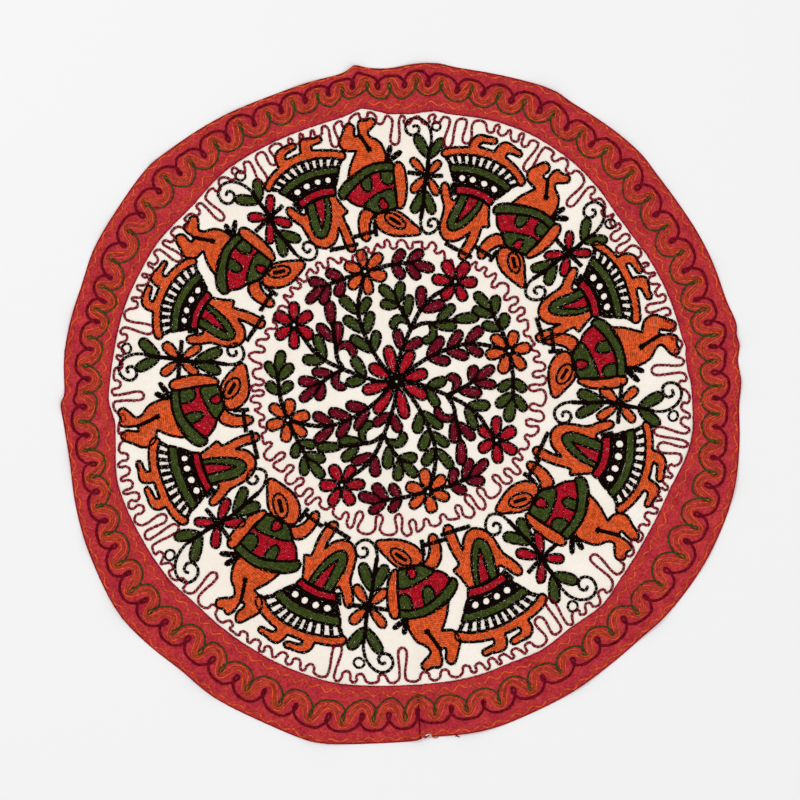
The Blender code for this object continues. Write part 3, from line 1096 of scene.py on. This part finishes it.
def work_man(work, spot):
    def legged(points):
        return [(p[0], float(with_legs(p[1], spot.legs)), *p[2:]) for p in points]

    place = placed(spot)
    level = place.turn
    work.motif("orange", place(legged(MAN_LEGS)), level)
    leg_line = legged(MAN_LEG_LINE)
    work.stem(place(leg_line), lift=0.3, loose=0)
    knee = place(round_shape(leg_line[-1], MAN_KNEE))
    work.curve("black", knee, closed=True, lift=0.3, loose=0)
    yoke, drop = place(MAN_YOKE), place(MAN_DROP)
    blocks = [place(block) for block in MAN_BLOCKS]
    work.motif("red", place(MAN_COAT), level + 60, holes=[yoke] + blocks)
    for block in blocks:
        work.motif("green", block, level + 90)
    work.motif("green", yoke, level, holes=[drop])
    work.motif("red", drop, level + 90)
    work.motif("green", place(MAN_BAND), level + 20)
    for arm in (MAN_LONG_ARM, MAN_BENT_ARM):
        work.motif("orange", place(arm), level + 90)
    eye = place(oval_shape(MAN_EYE, *MAN_EYE_SIZE, MAN_EYE_TURN))
    work.motif("orange", place(MAN_HEAD), level - 40, holes=[eye])
    work.motif("orange", eye, level + MAN_EYE_TURN)
    slit = turned([(-MAN_SLIT, 0), (MAN_SLIT, 0)], MAN_EYE_TURN) + MAN_EYE
    work.curve("black", place(slit), width=1.1, lift=0.3, loose=0)
    for stick in MAN_STICKS:
        work.stem(place(stick), lift=0.4)
    for path in MAN_TASSEL:
        work.drop("black", place, path, TASSEL_WIDTH)


def work_sprig(work, spot, colour):
    place = placed(spot)
    work.leaves("green", place, SPRIG_LEAVES)
    for stem in (SPRIG_STEM, SPRIG_FOOT):
        work.curve("black", place(stem), width=0.76, loose=0.4)
        work.stem(place(stem[:4]))
    ring = place(round_shape(SPRIG_RING, SPRIG_RING_REACH))
    work.curve("black", ring, closed=True, width=0.6, loose=0.3)
    for tip in SPRIG_TICKS:
        work.stem(place(((0, 0), tip)), lift=0.2)
    for tip in SPRIG_PETALS:
        path = (np.array(tip) * SPRIG_PETAL_FOOT, tip)
        work.drop(colour, place, path, SPRIG_PETAL_WIDTH)


PITCH_RANGE = (0.9, 1.1)
PITCH_CHOICE = np.linspace(0.85, 1.25, 7)
BULGE_SHARE, MOST_BULGE = 0.3, 4.0  # height of the round ends of a loop
DEEP_LOOP, SWELL = 14.0, 0.16  # a deep loop is wider at its foot


def loop_feet(low, high, loop, unit, random):
    """Turns of a meander's loops: at an even pitch, give or take, and where there is room."""
    feet = [0.0]
    while True:
        pitch = loop.pitch + loop.gain * (high(feet[-1]) - low(feet[-1]))
        ahead = feet[-1] + pitch * unit * random.uniform(*PITCH_RANGE) * PITCH_CHOICE
        if ahead[len(ahead) // 2] > 360.0 - pitch * unit * 0.6:
            return feet
        feet.append(min(ahead, key=low))


def meander(low, high, loop, seed):
    """Loops between two reaches, each a function of the turn, as points in turns and reaches."""
    random = np.random.default_rng(seed)
    unit = math.degrees(1.0 / high(0.0))
    feet = loop_feet(low, high, loop, unit, random)
    points = []
    for here, after in zip(feet, feet[1:] + [360.0]):
        half = 0.25 * unit * (loop.pitch + 1.5) * random.uniform(*PITCH_RANGE)
        top = high(here) + random.uniform(-1.2, 1.2)
        foot = min(low(here) + random.uniform(-0.5, 1.5), top - loop.least)
        bulge = min(BULGE_SHARE * (top - foot), MOST_BULGE)
        swell = SWELL if top - foot > DEEP_LOOP else 0.0
        lean = random.uniform(-0.25, 0.25)
        crest = (here + after) / 2
        points += [
            (here - half * (1 - swell - lean), top - bulge),
            (here - half * (1 + swell + lean), foot + bulge),
            (here, foot),
            (here + half * (1 + swell - lean), foot + bulge),
            (here + half * (1 - swell + lean), top - bulge),
            (crest, high(crest) + random.uniform(-1.2, 0.8)),
        ]
    return points


def from_zero(turn):
    """The same turn, between -180 and 180."""
    return (turn + 180.0) % 360.0 - 180.0


def figures_end(turn, outward):
    """How far the ring's figures reach out or in near a turn."""
    far = FIGURES_HEAD if outward else FIGURES_FOOT
    ends = [0.0 if outward else 1000.0]
    for figures in RING:
        rows = np.array(figures.top if outward else figures.bottom)
        for spot in figures.spots:
            away = from_zero(spot.turn - turn)
            if abs(away) > FIGURE_SPAN:
                continue
            across = (math.radians(away) * far + np.linspace(-4, 4, 5)) / spot.size
            across = across[(across > rows[0, 0]) & (across < rows[-1, 0])]
            heights = with_legs(np.interp(across, rows[:, 0], rows[:, 1]), spot.legs)
            ends += list(spot.reach + heights * spot.size)
    return max(ends) if outward else min(ends)


def seen_from(middle, turn, reach, other):
    """A place given by turn and reach about one middle, by turn and reach about another."""
    x, y = middle + reach * direction(turn) - other
    return math.degrees(math.atan2(y, x)), math.hypot(x, y)


def medallion_end(turn):
    """How far the medallion reaches out near a turn."""
    aways, reaches = np.array(MEDALLION_RIM).T
    nearest = [
        min(abs(from_zero(bough - turn - near)) for bough in FLOWER_TURNS_LONG)
        for near in (-2, 0, 2)
    ]
    return float(np.interp(nearest, aways, reaches).max())


def seam_from_ring(edges, turn):
    """Distance from the ring of figures' middle to the seam at a turn."""
    reach = USUAL_SEAM
    for _ in range(6):
        spot = RING_MIDDLE + direction(turn) * reach
        about = math.degrees(math.atan2(spot[1], spot[0]))
        reach += float(edges.seam(about)) - np.hypot(*spot)
    return reach


def work_meanders(work, edges):
    def outer_crest(turn):
        return seam_from_ring(edges, turn) - OUTER_INSET

    def outer_foot(turn):
        crest = outer_crest(turn)
        deepest = crest - OUTER_DEPTH - 0.2 * max(0.0, crest - FIGURES_HEAD)
        return max(deepest, figures_end(turn, True) + MEANDER_GAP)

    def inner_crest(turn):
        about, reach = seen_from(INNER_MEANDER_MIDDLE, turn, INNER_CREST, RING_MIDDLE)
        return INNER_CREST - max(0.0, reach + MEANDER_GAP - figures_end(about, False))

    def inner_foot(turn):
        about, reach = seen_from(INNER_MEANDER_MIDDLE, turn, INNER_FOOT, MEDALLION_MIDDLE)
        return INNER_FOOT + max(0.0, medallion_end(about) + MEDALLION_GAP - reach)

    outer = meander(outer_foot, outer_crest, OUTER_MEANDER, 5)
    inner = meander(inner_foot, inner_crest, INNER_MEANDER, 8)
    for middle, points in ((RING_MIDDLE, outer), (INNER_MEANDER_MIDDLE, inner)):
        path = ring_points(*np.array(points).T) + middle
        work.curve("maroon", path, closed=True, width=0.66, loose=0.4, tone=BRIGHT)


def scallop_turns():
    """Turns of the loops of the scalloped line."""
    starts = [SCALLOP_START] + [end for end, _ in SCALLOPS]
    return [
        start + (end - start) * k / count
        for start, (end, count) in zip(starts, SCALLOPS) for k in range(count)
    ]


def scallop_rows(random):
    """Rows of turn and inset for the scallops, the loops between them and the wave."""
    loops = scallop_turns()
    per_unit = math.degrees(1.0 / SCALLOP_REACH)
    outer, inner, snake = [], [], []
    for here, there in zip(loops, loops[1:] + [loops[0] + 360.0]):
        width = there - here
        high, low, deep = random.uniform(-1.6, 1.6, 3)
        side = per_unit * random.uniform(1.3, 2.2)
        lean = per_unit * random.uniform(-1.5, 1.5)
        outer += [
            (here + lean + side, LOOP_SHOULDER + low), (here + lean, LOOP_END + low),
            (here + lean - side, LOOP_SHOULDER + low), (here, LOOP_NECK),
            (here + 0.2 * width, CREST_SIDE + high / 2), (here + 0.5 * width, CREST_INSET + high),
            (here + 0.8 * width, CREST_SIDE + high / 2),
        ]
        middle, slim = here + 0.5 * width, 0.6 * side
        inner += [
            (here + 0.05 * width, FOOT_INSET + deep), (here + 0.3 * width, FOOT_SIDE + deep / 2),
            (middle, TIP_NECK), (middle + slim - lean, TIP_SHOULDER + high),
            (middle - lean, TIP_END + high), (middle - slim - lean, TIP_SHOULDER + high),
            (here + 0.7 * width, FOOT_SIDE + deep / 2),
        ]
        snake += [
            (here, SNAKE_FOOT + low), (here + 0.22 * width, SNAKE_LOW),
            (here + 0.33 * width, SNAKE_HIGH), (middle, SNAKE_CREST + high),
            (here + 0.67 * width, SNAKE_HIGH), (here + 0.78 * width, SNAKE_LOW),
        ]
    return outer, inner, snake


def scallop_place(turns, drawn):
    """Insets on the cloth of points that are drawn at so many units from an even hem."""
    at, crests, feet = np.array(SCALLOP_INSETS).T
    crest, foot = (np.interp(np.mod(turns, 360), at, row, period=360) for row in (crests, feet))
    return crest + (foot - crest) * (drawn - CREST_INSET) / (FOOT_INSET - CREST_INSET)


def rickrack_path(wave, edges, random):
    """A wave along the hem or the seam, its loops uneven."""
    count = round(360 / wave.pitch)
    turns = np.linspace(0, 360, count * WAVE_POINTS, endpoint=False)
    heights = wave.height * np.repeat(random.uniform(0.6, 1.3, count), WAVE_POINTS)
    heights *= np.sin(np.arange(count * WAVE_POINTS) * 2 * math.pi / WAVE_POINTS)
    insets = wave.inset + heights
    if not wave.at_seam:
        insets *= np.minimum(scallop_place(turns, CREST_INSET) / WAVE_ROOM, 1.0)
    return edges.path(turns, insets, wave.at_seam)


def work_border(work, edges):
    random = np.random.default_rng(21)
    outer, inner, snake = (
        edges.path(turns, scallop_place(turns, drawn))
        for turns, drawn in (np.array(rows).T for rows in scallop_rows(random))
    )
    work.curve("maroon", outer, closed=True, width=0.62, loose=0.2, tone=0.3)
    work.curve("green", inner, closed=True, width=0.44, loose=0.2, tone=0.3)
    band = smooth_curve(snake, closed=True)
    for side, width, tone in SERPENTINE_ROWS:
        row = beside(band, side)
        work.line("orange", row, closed=True, width=width, loose=None, tone=tone, long=1.5)
    for wave in RICKRACK:
        path = rickrack_path(wave, edges, random)
        work.curve("orange", path, closed=True, width=0.42, loose=None, tone=0.32, long=1.3)
    turns = np.arange(0, 360, 0.5)
    path = edges.path(turns, HEM_LINE)
    work.line("red", path, closed=True, width=0.25, loose=None, tone=DULL)
    path = edges.path(turns, SEAM_LINE, from_seam=True)
    work.line("red", path, closed=True, width=0.34, loose=0, tone=DULL)
    # Painted shade: a dull maroon line across the border, from seam to hem, stands for the shadow
    # of the fold crease at the join
    path = edges.path(JOIN_SHADE_TURN, np.linspace(*JOIN_SHADE_INSETS, 12))
    work.line("maroon", path, width=0.36, loose=0, tone=DULL)
    for colour, points in LOOSE_ENDS:
        work.curve(colour, edges.path(*np.array(points).T), width=0.22, loose=0)


# Operators

CLOTHS = (CENTRE.piece, BORDER.piece)


class TABLECLOTH_OT_lay_centre(bpy.types.Operator):
    """Lay the cream centre cloth"""
    bl_idname = "tablecloth.lay_centre"
    bl_label = "Lay centre cloth"

    def execute(self, context):
        settings = context.scene.tablecloth_cloth
        lay_cloth(CENTRE, settings.cream, settings)
        return {"FINISHED"}


class TABLECLOTH_OT_lay_border(bpy.types.Operator):
    """Lay the red border over the edge of the centre cloth"""
    bl_idname = "tablecloth.lay_border"
    bl_label = "Lay border"

    def execute(self, context):
        settings = context.scene.tablecloth_cloth
        lay_cloth(BORDER, settings.red, settings)
        return {"FINISHED"}


class StitchOperator:
    """What the operators that embroider share."""
    group = ""

    def execute(self, context):
        missing = [name for name in CLOTHS if name not in bpy.data.objects]
        if missing:
            raise RuntimeError(f"Lay the cloths first: {missing} missing")
        work = Embroidery(context.scene.tablecloth_stitch)
        self.draw_pattern(work)
        sew_all(self.group, work, Surface(CLOTHS))
        return {"FINISHED"}


class TABLECLOTH_OT_work_medallion(StitchOperator, bpy.types.Operator):
    """Embroider the flowers and boughs in the middle"""
    bl_idname = "tablecloth.work_medallion"
    bl_label = "Embroider medallion"
    group = "medallion"

    def draw_pattern(self, work):
        work_medallion(work)


class TABLECLOTH_OT_work_meanders(StitchOperator, bpy.types.Operator):
    """Embroider the looping lines round the medallion and inside the border"""
    bl_idname = "tablecloth.work_meanders"
    bl_label = "Embroider meanders"
    group = "meanders"

    def draw_pattern(self, work):
        work_meanders(work, Edges())


class TABLECLOTH_OT_work_women(StitchOperator, bpy.types.Operator):
    """Embroider the dancers in skirts"""
    bl_idname = "tablecloth.work_women"
    bl_label = "Embroider skirted dancers"
    group = "women"

    def draw_pattern(self, work):
        for spot in WOMEN:
            work_woman(work, spot)


class TABLECLOTH_OT_work_men(StitchOperator, bpy.types.Operator):
    """Embroider the dancers in coats"""
    bl_idname = "tablecloth.work_men"
    bl_label = "Embroider coated dancers"
    group = "men"

    def draw_pattern(self, work):
        for spot in MEN:
            work_man(work, spot)


class TABLECLOTH_OT_work_sprigs(StitchOperator, bpy.types.Operator):
    """Embroider the sprigs between the dancers"""
    bl_idname = "tablecloth.work_sprigs"
    bl_label = "Embroider sprigs"
    group = "sprigs"

    def draw_pattern(self, work):
        for k, spot in enumerate(SPRIGS):
            work_sprig(work, spot, "orange" if k % 2 == 0 else "red")


class TABLECLOTH_OT_work_border(StitchOperator, bpy.types.Operator):
    """Embroider the scallops and waves of the border"""
    bl_idname = "tablecloth.work_border"
    bl_label = "Embroider border"
    group = "edging"

    def draw_pattern(self, work):
        work_border(work, Edges())


class TABLECLOTH_OT_declare_cloths(bpy.types.Operator):
    """Look up the two cloths, failing if either is missing"""
    bl_idname = "tablecloth.declare_cloths"
    bl_label = "Declare cloths"

    def execute(self, context):
        bpy.data.objects[CENTRE.piece]
        bpy.data.objects[BORDER.piece]
        return {"FINISHED"}


def add_floor():
    bm = bmesh.new()
    bmesh.ops.create_grid(bm, x_segments=1, y_segments=1, size=FLOOR_REACH)
    mesh = bpy.data.meshes.new("floor")
    bm.to_mesh(mesh)
    bm.free()
    material = bpy.data.materials.new("floor")
    shader = shader_of(material, FLOOR_COLOUR, 0.9, CLOTH_GLOSS)
    shader.inputs["Sheen Weight"].default_value = 0.0
    mesh.materials.append(material)
    floor = add_object("floor", mesh)


def add_light(name, place, width, power):
    lamp = bpy.data.lights.new(name, "AREA")
    lamp.shape, lamp.size, lamp.energy = "DISK", width, power
    light = add_object(name, lamp)
    light.location = place
    light.rotation_euler = (-Vector(place)).to_track_quat("-Z", "Y").to_euler()


class TABLECLOTH_OT_set_stage(bpy.types.Operator):
    """Set the floor, the light and the camera"""
    bl_idname = "tablecloth.set_stage"
    bl_label = "Set stage"

    def execute(self, context):
        scene = context.scene
        add_floor()
        for light in LIGHTS:
            add_light(*light)
        scene.world = bpy.data.worlds.new("studio")
        scene.world.use_nodes = True
        back = scene.world.node_tree.nodes["Background"]
        back.inputs["Color"].default_value = (1.0, 1.0, 1.0, 1.0)
        back.inputs["Strength"].default_value = WORLD_STRENGTH
        scene.view_settings.view_transform = "Standard"
        camera = bpy.data.cameras.new("camera")
        camera.lens, camera.sensor_width = LENS, SENSOR
        scene.camera = add_object("camera", camera)
        scene.camera.location = (*VIEW_MIDDLE, VIEW_WIDTH * LENS / SENSOR)
        return {"FINISHED"}


class TABLECLOTH_PT_panel(bpy.types.Panel):
    """Buttons for the tablecloth"""
    bl_label = "Tablecloth"
    bl_idname = "TABLECLOTH_PT_panel"
    bl_space_type = "VIEW_3D"
    bl_region_type = "UI"
    bl_category = "Tablecloth"

    def draw(self, context):
        scene = context.scene
        for group in (scene.tablecloth_cloth, scene.tablecloth_threads, scene.tablecloth_stitch):
            box = self.layout.box()
            for name in group.__annotations__:
                box.prop(group, name)
        for operator in OPERATORS:
            self.layout.operator(operator.bl_idname)


OPERATORS = (
    TABLECLOTH_OT_lay_centre, TABLECLOTH_OT_lay_border, TABLECLOTH_OT_work_medallion,
    TABLECLOTH_OT_work_meanders, TABLECLOTH_OT_work_women, TABLECLOTH_OT_work_men,
    TABLECLOTH_OT_work_sprigs, TABLECLOTH_OT_work_border, TABLECLOTH_OT_declare_cloths,
    TABLECLOTH_OT_set_stage,
)
CLASSES = (ClothSettings, ThreadSettings, StitchSettings, *OPERATORS, TABLECLOTH_PT_panel)


def register():
    for item in CLASSES:
        bpy.utils.register_class(item)
    bpy.types.Scene.tablecloth_cloth = bpy.props.PointerProperty(type=ClothSettings)
    bpy.types.Scene.tablecloth_threads = bpy.props.PointerProperty(type=ThreadSettings)
    bpy.types.Scene.tablecloth_stitch = bpy.props.PointerProperty(type=StitchSettings)


def unregister():
    del bpy.types.Scene.tablecloth_stitch
    del bpy.types.Scene.tablecloth_threads
    del bpy.types.Scene.tablecloth_cloth
    for item in reversed(CLASSES):
        bpy.utils.unregister_class(item)


def main():
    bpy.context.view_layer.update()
    register()
    bpy.ops.tablecloth.lay_centre()
    bpy.ops.tablecloth.lay_border()
    bpy.ops.tablecloth.work_medallion()
    bpy.ops.tablecloth.work_meanders()
    bpy.ops.tablecloth.work_women()
    bpy.ops.tablecloth.work_men()
    bpy.ops.tablecloth.work_sprigs()
    bpy.ops.tablecloth.work_border()
    bpy.ops.tablecloth.declare_cloths()
    bpy.ops.tablecloth.set_stage()


if __name__ == "__main__":
    main()
